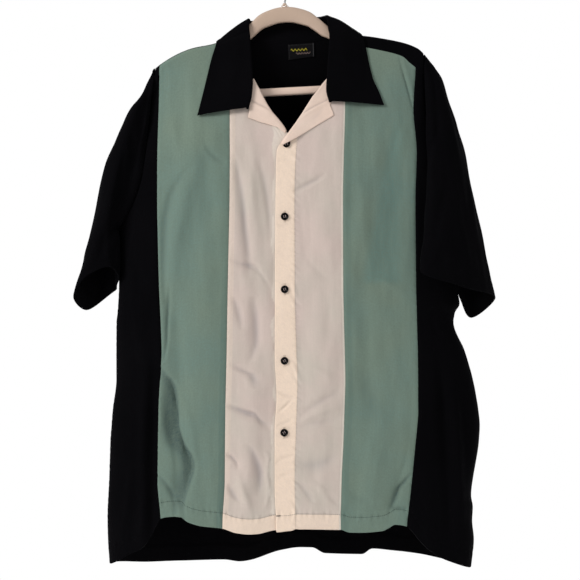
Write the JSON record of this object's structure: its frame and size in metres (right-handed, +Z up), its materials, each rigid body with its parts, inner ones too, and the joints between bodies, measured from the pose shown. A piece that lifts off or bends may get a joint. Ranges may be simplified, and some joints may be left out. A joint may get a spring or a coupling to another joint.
{
  "type": "bowling shirt on a hanger",
  "caption": "Short-sleeved camp-collar shirt with contrasting front panels and a button placket, hanging flat on a moulded hanger with a swivel hook.",
  "frame": {"origin": "inside top of the hanger's hook, where the rail carries it", "axes": "+Z up; the front of the shirt faces -Y; +X is towards the wearer's left sleeve, on the viewer's right"},
  "size_m": [0.6427, 0.1353, 0.9179],
  "materials": {
    "black_cloth": "matte black woven cloth",
    "green_cloth": "matte grey-green woven cloth",
    "white_cloth": "matte off-white woven cloth",
    "label": "satin woven tape",
    "button": "polished black",
    "hanger_plastic": "smooth beige plastic",
    "hook_steel": "bright plated wire"
  },
  "bodies": {
    "root": {"front_right_side": "black_cloth", "front_right_green": "green_cloth", "front_right_white": "white_cloth", "front_left_white": "white_cloth", "front_left_green": "green_cloth", "front_left_side": "black_cloth", "back": "black_cloth", "sleeve_right": "black_cloth", "sleeve_left": "black_cloth", "collar": "black_cloth", "lapel_right": "white_cloth", "lapel_left": "white_cloth", "neck_label": "label", "button_1": "button", "button_2": "button", "button_3": "button", "button_4": "button", "button_5": "button", "hanger_frame": "hanger_plastic", "hanger_ferrule": "hanger_plastic", "hanger_hook": "hook_steel"}
  },
  "joints": []
}
